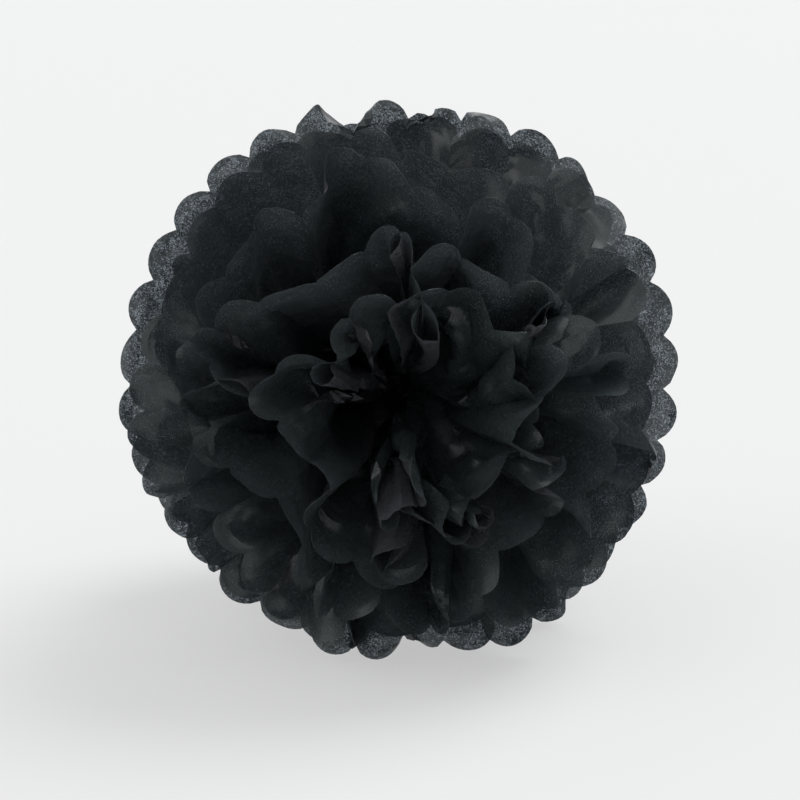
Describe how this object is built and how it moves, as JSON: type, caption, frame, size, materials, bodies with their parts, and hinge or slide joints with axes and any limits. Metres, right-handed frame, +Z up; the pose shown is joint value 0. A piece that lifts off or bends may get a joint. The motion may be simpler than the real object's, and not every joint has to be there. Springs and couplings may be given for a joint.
{
  "type": "tissue paper pom pom",
  "caption": "Free-standing ball of pleated black tissue sheets, tied at the middle with wire and pulled apart into ruffled petals with scalloped ends.",
  "frame": {"origin": "on the surface it stands on, below the middle of its bounding box", "axes": "+Z up; -Y towards the open flower side, along the axis that the sheets are pulled apart on; +X to the right seen from that side"},
  "size_m": [0.3484, 0.3231, 0.3229],
  "materials": {
    "black_tissue": "matte with a faint machine-glazed sheen",
    "florist_wire": "satin"
  },
  "bodies": {
    "root": {"tissue_sheet_01": "black_tissue", "tissue_sheet_02": "black_tissue", "tissue_sheet_03": "black_tissue", "tissue_sheet_04": "black_tissue", "tissue_sheet_05": "black_tissue", "tissue_sheet_06": "black_tissue", "tissue_sheet_07": "black_tissue", "tissue_sheet_08": "black_tissue", "tissue_sheet_09": "black_tissue", "tissue_sheet_10": "black_tissue", "binding_wire": "florist_wire"}
  },
  "joints": []
}
